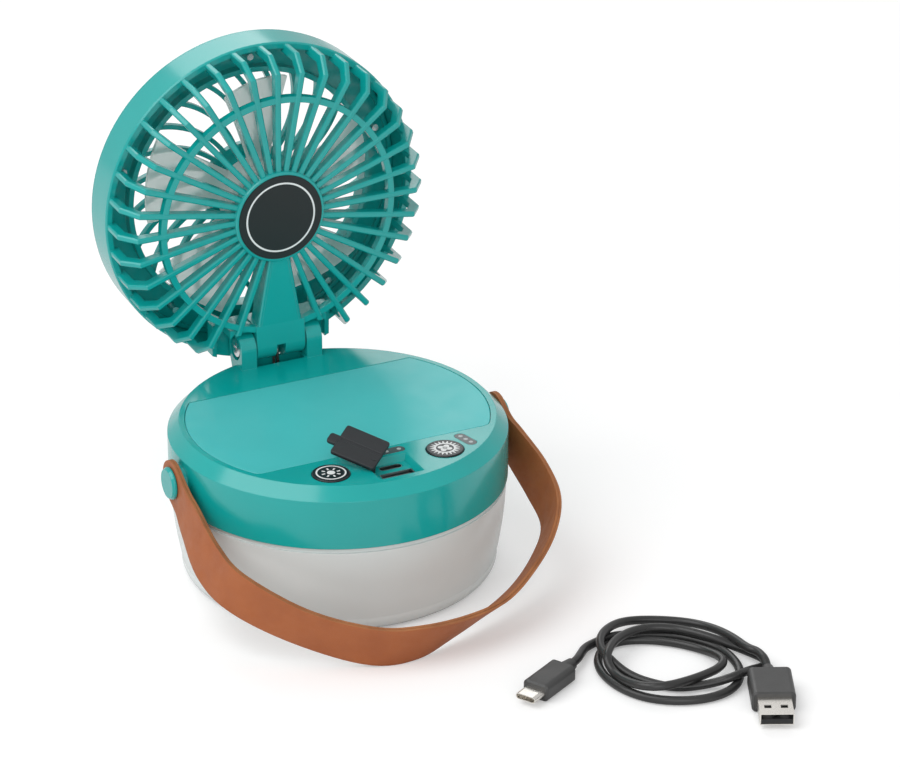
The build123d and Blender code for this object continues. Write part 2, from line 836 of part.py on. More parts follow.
with BuildPart(face) as front_grille:
    # collar that carries the badge
    with BuildSketch(section):
        with BuildLine():
            Polyline((0, -badge_t), (badge_r + badge_gap, -badge_t), (badge_r + badge_gap, -0.2), (collar_r - 0.4, -0.2),
                     (collar_r, -0.7), (collar_r, -collar_t), (0, -collar_t), close=True)
        make_face()
    revolve(axis=face_axis)
    with PolarLocations(0, rib_count):
        add(rib.part)
    # ring that ties the ribs
    with BuildSketch(section):
        with Locations((ring_r, -rib_face - 0.3 - ring_t / 2)):
            Rectangle(ring_w, ring_t)
    revolve(axis=face_axis)
    # side band with its thicker front lip
    with BuildSketch(section):
        with BuildLine():
            Polyline((head_r - band_lip, -band_front), (head_r - 0.5, -band_front), (head_r, -band_front - 0.6),
                     (head_r - 0.2, -band_back), (head_r - 0.2 - band_wall, -band_back),
                     (head_r - band_wall, -band_front - band_lip_t - 1.6),
                     (head_r - band_lip, -band_front - band_lip_t), close=True)
        make_face()
    revolve(axis=face_axis)
    # the pocket over the ears: first a block, trimmed to the head's outline, then hollowed
    with BuildSketch(face.offset(-pocket_front)):
        Circle(rib_outer_r)
        with Locations((0, pocket_roof + pocket_wall - head_r)):
            Rectangle(2 * (pocket_half + pocket_wall), 2 * head_r, mode=Mode.INTERSECT)
    extrude(amount=-(pocket_depth + pocket_wall - pocket_front))
    with BuildSketch(face.offset(-pocket_side_front)):
        Circle(rib_outer_r)
        with Locations((0, pocket_roof + pocket_wall - head_r)):
            Rectangle(2 * (pocket_side_half + pocket_wall), 2 * head_r, mode=Mode.INTERSECT)
    extrude(amount=-(pocket_depth + pocket_wall - pocket_side_front))
    # the hollow widens below its roof, so that the outer faces of the ears stay in sight
    with BuildSketch(face.offset(head_depth)):
        with BuildLine():
            Polyline((-pocket_half, pocket_roof), (pocket_half, pocket_roof),
                     (pocket_side_half, pocket_roof - pocket_flare_drop), (pocket_side_half, -head_r - 1),
                     (-pocket_side_half, -head_r - 1), (-pocket_side_half, pocket_roof - pocket_flare_drop),
                     close=True)
        make_face()
    extrude(amount=-(head_depth + pocket_depth), mode=Mode.SUBTRACT)
    # tapered pillar from the collar down to the knuckle
    with BuildSketch(face.offset(-pillar_face)):
        with BuildLine():
            Polyline((-pillar_top_w / 2, 0.3 - collar_r), (pillar_top_w / 2, 0.3 - collar_r),
                     (pillar_low_w / 2, pillar_low_v), (-pillar_low_w / 2, pillar_low_v), close=True)
        make_face()
    extrude(amount=-(pillar_depth - pillar_face), taper=-6)
    # knuckle barrel with a neck up to the pillar
    with BuildSketch(Plane(origin=face.origin, x_dir=face_up, z_dir=(1, 0, 0))):
        with Locations((knuckle_v, -badge_forward)):
            Circle(knuckle_r)
        with BuildLine():
            Line((pillar_low_v + 1, -pillar_face), (pillar_low_v + 1, -pillar_face - 9.5))
        make_hull()
    extrude(amount=knuckle_half, both=True)
    # wire slot from the front of the barrel round to its underside
    with BuildSketch(Plane(origin=face.origin, x_dir=face_up, z_dir=(1, 0, 0))):
        with Locations((knuckle_v + slot_lap, -badge_forward - slot_lap)):
            Rectangle(2 * knuckle_r, 2 * knuckle_r, align=(Align.MAX, Align.MIN))
        with Locations((knuckle_v, -badge_forward)):
            Circle(slot_floor_r, mode=Mode.SUBTRACT)
    extrude(amount=slot_w / 2, both=True, mode=Mode.SUBTRACT)
    # bores for the hinge screws
    for side in (-1, 1):
        with BuildSketch(Plane(origin=(side * knuckle_half, hinge_y, hinge_z), x_dir=(0, 1, 0), z_dir=(side, 0, 0))):
            Circle(hinge_bore_r + hinge_running_gap)
        extrude(amount=-(knuckle_half - hinge_screw_reach + hinge_screw_spare), mode=Mode.SUBTRACT)
save(front_grille, "front_grille")

# ---------------------------------------------------------------- badge
with BuildPart(face) as badge:
    with BuildSketch(face.offset(-badge_t)):
        Circle(badge_r)
    extrude(amount=badge_t)
    with BuildSketch(face):
        Circle(badge_ring_r + badge_ring_w / 2)
        Circle(badge_ring_r - badge_ring_w / 2, mode=Mode.SUBTRACT)
    extrude(amount=-badge_ring_t, mode=Mode.SUBTRACT)
save(badge, "badge")

with BuildPart(face) as badge_ring:
    with BuildSketch(face):
        Circle(badge_ring_r + badge_ring_w / 2)
        Circle(badge_ring_r - badge_ring_w / 2, mode=Mode.SUBTRACT)
    extrude(amount=-badge_ring_t)
save(badge_ring, "badge_ring")

# ---------------------------------------------------------------- rear cover
rear_tongue_r = head_r - band_wall - 0.4
rear_tongue_wall = 1.6
rear_tongue_h = 1.6
screw_ring_r = (rear_open_r + rear_lip_w + rear_tongue_r - rear_tongue_wall) / 2
bar_mid_r = (mount_r + rear_open_r) / 2

with BuildPart() as rear_bar:
    with BuildSketch():
        with BuildLine():
            sweep_end = radians(rear_bar_sweep)
            sweep_mid = 0.38 * sweep_end
            outer_end = ((rear_open_r + 1) * cos(sweep_end), (rear_open_r + 1) * sin(sweep_end))
            ThreePointArc((mount_r - 0.8, 0), (bar_mid_r * cos(sweep_mid), bar_mid_r * sin(sweep_mid)), outer_end)
        trace(line_width=rear_bar_w)
    extrude(amount=rear_t)

with BuildPart(face) as rear_cover:
    with BuildSketch(section):
        with BuildLine():
            Polyline((rear_open_r, -head_depth), (rear_rim_r - 0.8, -head_depth), (rear_rim_r, -head_depth + 0.8),
                     (rear_rim_r, -band_back - parting_gap),
                     (rear_tongue_r, -band_back - parting_gap),
                     (rear_tongue_r, -band_back + rear_tongue_h),
                     (rear_tongue_r - rear_tongue_wall, -band_back + rear_tongue_h),
                     (rear_tongue_r - rear_tongue_wall, -rear_inside),
                     (rear_open_r + rear_lip_w, -rear_inside),
                     (rear_open_r + rear_lip_w, -rear_inside + rear_lip_h),
                     (rear_open_r, -rear_inside + rear_lip_h), close=True)
        make_face()
    revolve(axis=face_axis)
    with BuildSketch(face.offset(-head_depth)):
        Circle(mount_r)
        Circle(mount_hole_r, mode=Mode.SUBTRACT)
        with Locations((-motor_screw_x, 0), (motor_screw_x, 0)):
            Circle(motor_screw_r + rear_screw_gap, mode=Mode.SUBTRACT)
    extrude(amount=rear_t)
    with Locations((0, 0, -head_depth)):
        with PolarLocations(0, rear_bars):
            add(rear_bar.part)
    # cup round the motor
    with BuildSketch(face.offset(-rear_inside)):
        Circle(motor_r + motor_cup_wall)
        Circle(motor_r + 0.1, mode=Mode.SUBTRACT)
    extrude(amount=motor_cup_h)
    # bosses for the screws that hold it to the band
    with BuildSketch(face.offset(-head_depth)):
        with PolarLocations(screw_ring_r, rear_screws, start_angle=18):
            Circle(rear_screw_r + rear_screw_gap)
    extrude(amount=rear_t, mode=Mode.SUBTRACT)
save(rear_cover, "rear_cover")

with BuildPart(face) as motor:
    with BuildSketch(face.offset(-rear_inside)):
        Circle(motor_r)
    extrude(amount=motor_l)
    with BuildSketch(face.offset(-rear_inside + motor_l)):
        Circle(motor_boss_r)
    extrude(amount=motor_boss_l)
    with BuildSketch(face.offset(-rear_inside + motor_l + motor_boss_l)):
        Circle(shaft_r + shaft_gap)
    extrude(amount=-(motor_l + motor_boss_l - shaft_start + 0.4), mode=Mode.SUBTRACT)
    with BuildSketch(face.offset(-rear_inside)):
        with Locations((-motor_screw_x, 0), (motor_screw_x, 0)):
            Circle(motor_screw_r)
    extrude(amount=motor_screw_reach + 0.4, mode=Mode.SUBTRACT)
save(motor, "motor")

with BuildPart(face) as motor_screws:
    with BuildSketch(face.offset(-head_depth)):
        with Locations((-motor_screw_x, 0), (motor_screw_x, 0)):
            Circle(motor_screw_r)
    extrude(amount=rear_t + motor_screw_reach)
    with BuildSketch(face.offset(-head_depth)):
        with Locations((-motor_screw_x, 0), (motor_screw_x, 0)):
            Circle(motor_screw_head_r)
    extrude(amount=-motor_screw_head_t)
save(motor_screws, "motor_screws")

# ---------------------------------------------------------------- fan wheel
blade_stations = []
for share in (0.0, 0.5, 1.0):
    r = hub_r - 0.9 + share * (blade_r + 4 - hub_r)
    chord = blade_root_chord + share * (blade_tip_chord - blade_root_chord)
    pitch = blade_root_pitch + share * (blade_tip_pitch - blade_root_pitch)
    blade_stations.append((r, chord, pitch))

with BuildPart() as blade:
    for r, chord, pitch in blade_stations:
        lead = blade_lead * (r - hub_r) / (blade_r - hub_r) / 3
        with BuildSketch(Plane(origin=(r, lead, 0), x_dir=(0, cos(radians(pitch)), sin(radians(pitch))),
                               z_dir=(1, 0, 0))):
            Rectangle(chord, blade_t)
    loft()
    with BuildSketch(Plane.XY.offset(-20)):
        with Locations((blade_r / 2, blade_lead / 6)):
            RectangleRounded(blade_r, blade_tip_chord * 1.1, blade_corner)
        Circle(blade_r, mode=Mode.INTERSECT)
    extrude(amount=40, mode=Mode.INTERSECT)

with BuildPart(face) as fan_wheel:
    with BuildSketch(section):
        with BuildLine():
            Polyline((0, -hub_front), (hub_r - hub_soft, -hub_front), (hub_r, -hub_front - hub_soft),
                     (hub_r, -hub_front - hub_depth), (hub_r - hub_wall, -hub_front - hub_depth),
                     (hub_r - hub_wall, -hub_front - hub_soft), (hub_core_r, -hub_front - hub_soft),
                     (hub_core_r, -hub_front - hub_core_l), (0, -hub_front - hub_core_l), close=True)
        make_face()
    revolve(axis=face_axis)
    with Locations((0, 0, -blade_mid)):
        with PolarLocations(0, blade_count, start_angle=blade_start):
            add(blade.part)
    with BuildSketch(face.offset(-hub_front - hub_core_l)):
        Circle(shaft_r)
    extrude(amount=hub_core_l - shaft_end, mode=Mode.SUBTRACT)
    with BuildSketch(face.offset(-rear_inside - 1)):
        Circle(hub_r - hub_wall)
    extrude(amount=rear_inside + 1 - hub_front - hub_core_l, mode=Mode.SUBTRACT)
save(fan_wheel, "fan_wheel")

with BuildPart(face) as motor_shaft:
    with BuildSketch(face.offset(-rear_inside + shaft_start)):
        Circle(shaft_r)
    extrude(amount=rear_inside - shaft_start - hub_front - shaft_end)
save(motor_shaft, "motor_shaft")

# ---------------------------------------------------------------- strap
# sections from the left rivet round the front to the right rivet: shares of the strap's side, front reach and
# pivot height, then how far the width leans to the right and forward in degrees; the ends run straight to the rivets
strap_front = strap_side * 1.3
strap_sections = [
    (-1.0, 0.09, 0.904, 0, 33), (-1.002, 0.18, 0.801, 7, 33), (-1.012, 0.387, 0.632, 17, 22),
    (-0.962, 0.608, 0.536, 10, 14), (-0.707, 0.814, 0.348, 6, 22), (-0.379, 0.955, 0.2, 1, 15),
    (-0.125, 1.0, 0.184, 0, 22),
    (0.137, 0.974, 0.208, 4, 40), (0.39, 0.92, 0.253, 8, 49), (0.62, 0.835, 0.349, 8, 43),
    (0.824, 0.717, 0.473, 10, 36), (0.974, 0.562, 0.589, 10, 25), (1.012, 0.374, 0.707, 14, 20),
    (1.006, 0.182, 0.835, 7, 23), (1.0, 0.09, 0.91, 0, 28)]
strap_points = [Vector(x * strap_side, -y * strap_front, z * strap_pivot_z) for x, y, z, _, _ in strap_sections]
strap_ends = [Vector(side * strap_side, 0, strap_pivot_z) for side in (-1, 1)]
strap_tangents = [(strap_points[0] - strap_ends[0]).normalized(), (strap_ends[1] - strap_points[-1]).normalized()]

with BuildPart(mode=Mode.PRIVATE) as strap_route:
    with BuildLine() as strap_line:
        Spline(*strap_points, tangents=strap_tangents)
strap_curve = strap_line.edges()[0]

with BuildPart() as strap:
    for point, (_, _, _, rightward, forward) in zip(strap_points, strap_sections):
        along = strap_curve.tangent_at(strap_curve.param_at_point(point))
        upward = Vector(sin(radians(rightward)), -sin(radians(forward)), cos(radians(forward)))
        with BuildSketch(Plane(origin=point, x_dir=upward - along * upward.dot(along), z_dir=along)):
            Rectangle(strap_w, strap_t)
    loft()
    # flat rounded tabs at the rivets
    for side, near in ((-1, strap_points[0]), (1, strap_points[-1])):
        tab_plane = Plane(origin=(side * (strap_side - strap_t / 2), 0, strap_pivot_z), x_dir=(0, 1, 0),
                          z_dir=(side, 0, 0))
        run = Vector(0, near.Y, near.Z - strap_pivot_z).normalized()
        across = Vector(0, -run.Z, run.Y) * strap_half
        high = tab_plane.to_local_coords(near + across)
        low = tab_plane.to_local_coords(near - across)
        with BuildSketch(tab_plane):
            Circle(strap_half)
            with BuildLine():
                Line((high.X, high.Y), (low.X, low.Y))
            make_hull()
            Circle(rivet_r + rivet_gap, mode=Mode.SUBTRACT)
        extrude(amount=strap_t)
save(strap, "strap")

cap_x = strap_side + strap_t / 2 + rivet_cap_gap
with BuildPart() as strap_rivets:
    for side in (-1, 1):
        with BuildSketch(Plane(origin=(side * rivet_inner_x, 0, strap_pivot_z), x_dir=(0, 1, 0),
                               z_dir=(side, 0, 0))):
            Circle(rivet_r)
        extrude(amount=cap_x - rivet_inner_x)
save(strap_rivets, "strap_rivets")

with BuildPart() as rivet_caps:
    for side in (-1, 1):
        with BuildSketch(Plane(origin=(side * cap_x, 0, strap_pivot_z), x_dir=(0, 1, 0), z_dir=(side, 0, 0))):
            Circle(rivet_cap_r)
        extrude(amount=rivet_cap_t)
    cap_rims = [e for e in rivet_caps.edges() if abs(abs(e.center().X) - cap_x - rivet_cap_t) < 0.01]
    chamfer(cap_rims, rivet_cap_soft, 0.6 * rivet_cap_soft)
save(rivet_caps, "rivet_caps")

# ---------------------------------------------------------------- charging lead
lead_r = lead_d / 2


def plug_plane(x, y, z, heading):
    """A plane square to a plug that points along heading on the floor: its normal is that heading."""
    return Plane(origin=(x, y, z), x_dir=(-sin(radians(heading)), cos(radians(heading)), 0),
                 z_dir=(cos(radians(heading)), sin(radians(heading)), 0))


def step_along(point, heading, distance):
    """The floor point reached from point after distance along heading."""
    return (point[0] + distance * cos(radians(heading)), point[1] + distance * sin(radians(heading)))


plug_c_z = plug_c_body[2] / 2 + floor_gap
plug_c_back = step_along(plug_c_front, plug_c_heading, plug_c_body[0])
plug_c_exit = step_along(plug_c_back, plug_c_heading, neck_l)
plug_a_front = step_along(plug_a_tip, plug_a_heading, plug_a_shell[0])
plug_a_z = plug_a_body[2] / 2 + floor_gap
plug_a_back = step_along(plug_a_front, plug_a_heading, plug_a_body[0])
plug_a_exit = step_along(plug_a_back, plug_a_heading, neck_l)

for name, front, z, heading, size in (("usb_c_plug", plug_c_front, plug_c_z, plug_c_heading, plug_c_body),
                                      ("usb_a_plug", plug_a_front, plug_a_z, plug_a_heading, plug_a_body)):
    start = plug_plane(*front, z, heading)
    with BuildPart() as plug:
        with BuildSketch(start):
            RectangleRounded(size[1], size[2], plug_edge)
        extrude(amount=size[0])
        chamfer(plug.faces().filter_by(start).edges(), plug_bevel)
        with BuildSketch(start.offset(size[0])):
            Circle(neck_r)
        with BuildSketch(start.offset(size[0] + neck_l)):
            Circle(neck_tip_r)
        loft()
    save(plug, name)

shell_c = plug_plane(*plug_c_front, plug_c_z, plug_c_heading + 180)
with BuildPart() as usb_c_shell:
    with BuildSketch(shell_c):
        SlotOverall(plug_c_shell[1], plug_c_shell[2])
    extrude(amount=plug_c_shell[0])
    with BuildSketch(shell_c.offset(plug_c_shell[0])):
        SlotOverall(plug_c_shell[1] - 2 * plug_c_wall, plug_c_shell[2] - 2 * plug_c_wall)
    extrude(amount=-(plug_c_shell[0] - shell_foot), mode=Mode.SUBTRACT)
save(usb_c_shell, "usb_c_shell")

shell_a = plug_plane(*plug_a_front, plug_a_z, plug_a_heading + 180)
insert_h = (plug_a_shell[2] - 2 * plug_a_wall) * 0.48
with BuildPart() as usb_a_shell:
    with BuildSketch(shell_a):
        Rectangle(plug_a_shell[1], plug_a_shell[2])
    extrude(amount=plug_a_shell[0])
    with BuildSketch(shell_a.offset(plug_a_shell[0])):
        Rectangle(plug_a_shell[1] - 2 * plug_a_wall, plug_a_shell[2] - 2 * plug_a_wall)
    extrude(amount=-(plug_a_shell[0] - shell_foot), mode=Mode.SUBTRACT)
    # the two square windows in each broad side
    with BuildSketch(Plane(origin=(*step_along(plug_a_tip, plug_a_heading, plug_a_slot_back), plug_a_z),
                           x_dir=shell_a.x_dir, z_dir=(0, 0, 1))):
        with Locations((-plug_a_slot_x, 0), (plug_a_slot_x, 0)):
            Rectangle(*plug_a_slot)
    extrude(amount=plug_a_shell[2], both=True, mode=Mode.SUBTRACT)
save(usb_a_shell, "usb_a_shell")

with BuildPart() as usb_a_insert:
    with BuildSketch(shell_a.offset(shell_foot)):
        with Locations((0, -plug_a_shell[2] / 2 + plug_a_wall + insert_h / 2)):
            Rectangle(plug_a_shell[1] - 2 * plug_a_wall - 0.1, insert_h - 0.05)
    extrude(amount=plug_a_shell[0] - 1.5 * shell_foot)
save(usb_a_insert, "usb_a_insert")

with BuildPart() as cable_coil:
    with BuildSketch(Plane.XY):
        with Locations(coil_centre):
            Ellipse(*coil_outer)
            Ellipse(*coil_inner, mode=Mode.SUBTRACT)
    extrude(amount=coil_h)
    chamfer(cable_coil.edges().group_by(Axis.Z)[-1], coil_soft)
save(cable_coil, "cable_coil")

lead_c_line = [(*plug_c_exit, plug_c_z), (*step_along(plug_c_exit, plug_c_heading, 3.6), plug_c_z),
               (44.4, -111.2, 2.8), (47.2, -107.1, 2.0), (50.5, -103.7, 1.7)]
lead_a_line = [(*plug_a_exit, plug_a_z), (*step_along(plug_a_exit, plug_a_heading, 3.8), plug_a_z),
               (101.2, -144.2, 3.3), (101.9, -139.6, 2.2), (101.7, -135.4, 1.7)]


def bend_radii(line):
    """The largest tangent arc at each inner point: 0.45 of its shorter run over tan(half the turn)."""
    points = [Vector(*p) for p in line]
    radii = []
    for before, here, after in zip(points, points[1:], points[2:]):
        turn = radians((here - before).get_angle(after - here))
        run = min((here - before).length, (after - here).length)
        radii.append(0.45 * run / tan(turn / 2))
    return radii


for name, line in (("cable_lead_c", lead_c_line), ("cable_lead_a", lead_a_line)):
    radii = bend_radii(line)
    with BuildPart() as lead:
        with BuildLine() as route:
            FilletPolyline(*line, radius=radii)
        start_dir = Vector(*line[1]) - Vector(*line[0])
        with BuildSketch(Plane(origin=line[0], z_dir=start_dir)):
            Circle(lead_r)
        sweep()
    length = sum(e.length for e in route.edges())
    print(name, "radii", [round(r, 1) for r in radii], "length", round(length, 1),
          "volume ratio", round(lead.part.volume / (pi * lead_r**2 * length), 3))
    save(lead, name)

# screws that hold the rear cover, seated in the band's inner bosses
with BuildPart(face) as cover_screws:
    with BuildSketch(face.offset(-head_depth)):
        with PolarLocations(screw_ring_r, rear_screws, start_angle=18):
            Circle(rear_screw_r)
    extrude(amount=rear_t + rear_screw_reach)
    with BuildSketch(face.offset(-head_depth)):
        with PolarLocations(screw_ring_r, rear_screws, start_angle=18):
            Circle(rear_screw_head_r)
    extrude(amount=-rear_screw_head_t)
save(cover_screws, "cover_screws")
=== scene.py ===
from math import cos, pi, radians, sin

import bpy
from mathutils import Matrix, Vector


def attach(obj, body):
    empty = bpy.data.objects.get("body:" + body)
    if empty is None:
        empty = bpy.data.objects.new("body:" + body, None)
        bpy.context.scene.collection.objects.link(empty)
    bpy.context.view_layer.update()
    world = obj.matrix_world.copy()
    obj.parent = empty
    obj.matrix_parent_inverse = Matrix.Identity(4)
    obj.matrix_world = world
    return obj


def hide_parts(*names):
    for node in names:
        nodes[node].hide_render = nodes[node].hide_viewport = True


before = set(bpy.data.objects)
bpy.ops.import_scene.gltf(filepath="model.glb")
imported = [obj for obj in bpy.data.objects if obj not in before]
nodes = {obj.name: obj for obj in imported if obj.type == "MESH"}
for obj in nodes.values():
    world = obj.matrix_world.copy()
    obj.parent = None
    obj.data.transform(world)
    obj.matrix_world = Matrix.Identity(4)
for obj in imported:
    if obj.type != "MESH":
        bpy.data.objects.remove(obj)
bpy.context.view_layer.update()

# camera

cameraView = {
    "place": (-0.54891, -1.21059, 0.69950),
    "azimuth": -26.191,   # degrees, looking from the front and a little left
    "elevation": 25.236,
    "lens": 158.46,
    "sensor": 36.0,
}


def addCamera(view):
    turn = (radians(90 - view["elevation"]), 0, radians(view["azimuth"]))
    bpy.ops.object.camera_add(location=view["place"], rotation=turn)
    camera = bpy.context.object
    camera.name = "studioCamera"
    camera.data.lens = view["lens"]
    camera.data.sensor_width = view["sensor"]
    camera.data.sensor_fit = "HORIZONTAL"
    camera.data.clip_end = 20
    bpy.context.scene.camera = camera


addCamera(cameraView)

# charging cable, from the small plug round its loose loops to the large plug

cable = {
    "diameter": 0.0032,
    "route": [   # millimetres
        (38.1, -116.0, 3.4), (41.2, -114.2, 3.4), (45.2, -109.6, 2.6), (50.0, -104.5, 2.0),
        (62.7, -101.2, 1.7), (68.6, -103.6, 1.7), (74.8, -106.6, 1.7), (81.0, -110.4, 1.8),
        (86.1, -115.2, 1.8), (90.2, -120.9, 1.8), (93.0, -127.4, 1.8), (93.5, -135.5, 1.8),
        (91.9, -143.3, 1.8), (87.5, -150.7, 1.8), (81.4, -155.3, 1.8), (73.9, -156.8, 1.7),
        (65.4, -155.6, 1.7), (57.5, -151.8, 1.7), (51.1, -145.9, 1.7), (47.0, -137.3, 1.7),
        (45.7, -127.5, 1.7), (47.2, -118.8, 1.8), (51.1, -112.0, 1.8), (56.3, -107.9, 1.8),
        (62.0, -106.4, 1.8), (67.5, -107.6, 1.8), (73.2, -110.4, 1.8), (78.3, -114.3, 1.8),
        (83.2, -119.5, 1.8), (87.2, -126.2, 2.0), (88.0, -133.8, 3.6), (87.7, -139.4, 4.2),
        (83.6, -142.7, 3.8), (76.7, -144.6, 3.8), (68.5, -147.4, 5.0), (60.1, -149.6, 6.3),
        (54.3, -148.3, 6.3), (50.6, -144.1, 5.6), (48.6, -136.6, 4.2), (48.5, -128.7, 3.4),
        (48.1, -124.8, 5.4), (49.1, -121.8, 7.2), (53.1, -117.0, 7.4), (59.0, -111.6, 6.6),
        (66.2, -108.0, 5.8), (72.8, -107.3, 5.4), (78.8, -109.4, 5.2), (84.1, -113.0, 4.8),
        (88.5, -119.0, 4.9), (93.1, -124.8, 4.2), (97.9, -129.2, 2.4), (101.5, -134.7, 1.7),
        (103.2, -139.5, 1.7), (103.0, -143.0, 1.7), (100.1, -145.6, 1.7), (95.3, -146.8, 2.6),
        (87.4, -151.8, 5.4), (82.4, -151.6, 4.4), (77.7, -149.6, 2.8), (72.0, -147.6, 1.9),
        (66.0, -145.7, 1.8), (61.7, -142.4, 1.8), (58.1, -137.8, 1.8), (55.0, -132.9, 2.0),
        (52.8, -127.0, 2.6), (51.3, -122.5, 4.2), (50.8, -117.5, 4.9), (51.5, -112.7, 5.4),
        (53.8, -107.9, 5.8), (58.5, -102.7, 5.4), (64.7, -98.4, 4.4), (71.1, -96.2, 3.2),
        (77.2, -97.4, 2.8), (83.3, -100.6, 2.8), (89.0, -104.5, 2.8), (93.9, -109.7, 3.0),
        (96.8, -118.2, 4.2), (98.3, -127.4, 5.0), (98.4, -137.2, 5.6), (100.3, -141.0, 5.8),
        (100.0, -146.4, 5.7), (99.3, -149.2, 4.7), (98.6, -151.2, 4.1)],
    "length": 0.5483,
}


def addCable(values):
    curve = bpy.data.curves.new("chargingCable", "CURVE")
    curve.dimensions = "3D"
    curve.bevel_depth = 1   # each point's radius gives the thickness
    curve.bevel_resolution = 5
    curve.resolution_u = 8
    curve.use_fill_caps = True
    spline = curve.splines.new("NURBS")
    spline.points.add(len(values["route"]) - 1)
    for point, (x, y, z) in zip(spline.points, values["route"]):
        point.co = (x / 1000, y / 1000, z / 1000, 1)
        point.radius = values["diameter"] / 2
    spline.order_u = 3
    spline.use_endpoint_u = True
    piece = bpy.data.objects.new("chargingCable", curve)
    bpy.context.scene.collection.objects.link(piece)
    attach(piece, "base")
    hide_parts("cable_coil", "cable_lead_c", "cable_lead_a")
    return piece


cablePiece = addCable(cable)
print("camera and cable placed")

# helpers for the modelled pieces


def deselectAll():
    if bpy.context.object and bpy.context.object.mode != "OBJECT":
        bpy.ops.object.mode_set(mode="OBJECT")
    bpy.ops.object.select_all(action="DESELECT")


def makeActive(piece):
    deselectAll()
    piece.select_set(True)
    bpy.context.view_layer.objects.active = piece


def applyPlace(piece):
    makeActive(piece)
    bpy.ops.object.transform_apply(location=True, rotation=True, scale=True)


def applyModifiers(piece):
    makeActive(piece)
    for modifier in list(piece.modifiers):
        bpy.ops.object.modifier_apply(modifier=modifier.name)


def joinPieces(pieces, name):
    deselectAll()
    for piece in pieces:
        piece.select_set(True)
    bpy.context.view_layer.objects.active = pieces[0]
    bpy.ops.object.join()
    joined = bpy.context.object
    joined.name = name
    return joined


def softenEdges(piece, width, segments):
    soften = piece.modifiers.new("softEdge", "BEVEL")
    soften.width = width
    soften.segments = segments
    soften.limit_method = "ANGLE"
    soften.angle_limit = radians(50)   # corners only, curved sides stay as they are
    applyModifiers(piece)


# finishes

finishes = {
    "tealGloss": {"colour": (0.0025, 0.385, 0.365), "vary": 0.04, "rough": 0.20, "grain": 700, "bump": 0.000006,
                  "coat": 0.4, "edge": 0.0004},
    "tealSatin": {"colour": (0.070, 0.53, 0.53), "vary": 0.025, "rough": 0.34, "grain": 1500, "bump": 0.000010,
                  "edge": 0.0002},
    "lampFrost": {"colour": (0.735, 0.775, 0.765), "vary": 0.015, "rough": 0.22, "grain": 160, "bump": 0.000004,
                  "coat": 0.3, "edge": 0.0004},
    "blackRubber": {"colour": (0.020, 0.023, 0.026), "vary": 0.15, "rough": 0.48, "grain": 2200, "bump": 0.00003},
    "cableRubber": {"colour": (0.028, 0.028, 0.028), "vary": 0.12, "rough": 0.31, "grain": 1600, "bump": 0.00002},
    "plugPlastic": {"colour": (0.052, 0.052, 0.052), "vary": 0.12, "rough": 0.42, "grain": 1400, "bump": 0.00003},
    "buttonBlack": {"colour": (0.010, 0.013, 0.017), "vary": 0.15, "rough": 0.26, "grain": 1400, "bump": 0.00001},
    "badgeDark": {"colour": (0.008, 0.013, 0.014), "vary": 0.10, "rough": 0.40, "grain": 1300, "bump": 0.00001},
    "printWhite": {"colour": (0.82, 0.84, 0.84), "vary": 0.03, "rough": 0.50, "grain": 1500, "bump": 0.00001},
    "windowSmoke": {"colour": (0.070, 0.088, 0.092), "vary": 0.06, "rough": 0.22, "grain": 900, "bump": 0.00001},
    "windowDot": {"colour": (0.42, 0.46, 0.46), "vary": 0.10, "rough": 0.30, "grain": 2500, "bump": 0.00002},
    "wireTinned": {"colour": (0.42, 0.41, 0.39), "vary": 0.20, "rough": 0.22, "grain": 2600, "bump": 0.00004,
                   "metal": 0.9},
    "screwSteel": {"colour": (0.72, 0.73, 0.74), "vary": 0.08, "rough": 0.24, "grain": 1200, "bump": 0.00001,
                   "metal": 1.0},
    "shellSteel": {"colour": (0.90, 0.87, 0.82), "vary": 0.04, "rough": 0.26, "grain": 800, "bump": 0.000006,
                   "metal": 1.0},
    "socketSteel": {"colour": (0.36, 0.37, 0.38), "vary": 0.15, "rough": 0.32, "grain": 1100, "bump": 0.00001,
                    "metal": 1.0},
    "motorSteel": {"colour": (0.50, 0.51, 0.52), "vary": 0.10, "rough": 0.32, "grain": 900, "bump": 0.00001,
                   "metal": 1.0},
    "nylonWhite": {"colour": (0.75, 0.75, 0.72), "vary": 0.04, "rough": 0.45, "grain": 900, "bump": 0.00002},
    "boardGreen": {"colour": (0.015, 0.11, 0.045), "vary": 0.25, "rough": 0.38, "grain": 420, "bump": 0.00004},
    "cellWrap": {"colour": (0.03, 0.11, 0.33), "vary": 0.08, "rough": 0.25, "grain": 700, "bump": 0.00001},
    "solarBlue": {"colour": (0.006, 0.010, 0.030), "vary": 0.25, "rough": 0.20, "grain": 300, "bump": 0.00001},
    "lampYellow": {"colour": (0.80, 0.62, 0.20), "vary": 0.06, "rough": 0.35, "grain": 900, "bump": 0.00001},
    "contactBlack": {"colour": (0.012, 0.012, 0.013), "vary": 0.20, "rough": 0.45, "grain": 1500, "bump": 0.00002},
}


# what all moulded and metal finishes share: patch sizes, spread of the roughness and softness of the lacquer
mouldedTexture = {"cloud": 35, "wear": 120, "spread": 0.15, "coatRough": 0.12}

clearBlade = {"tint": (0.90, 0.95, 0.93), "vary": 0.05, "cloud": 60, "grain": 1500, "bump": 0.00001,
              "rough": 0.30, "clear": 0.55, "bend": 1.12}

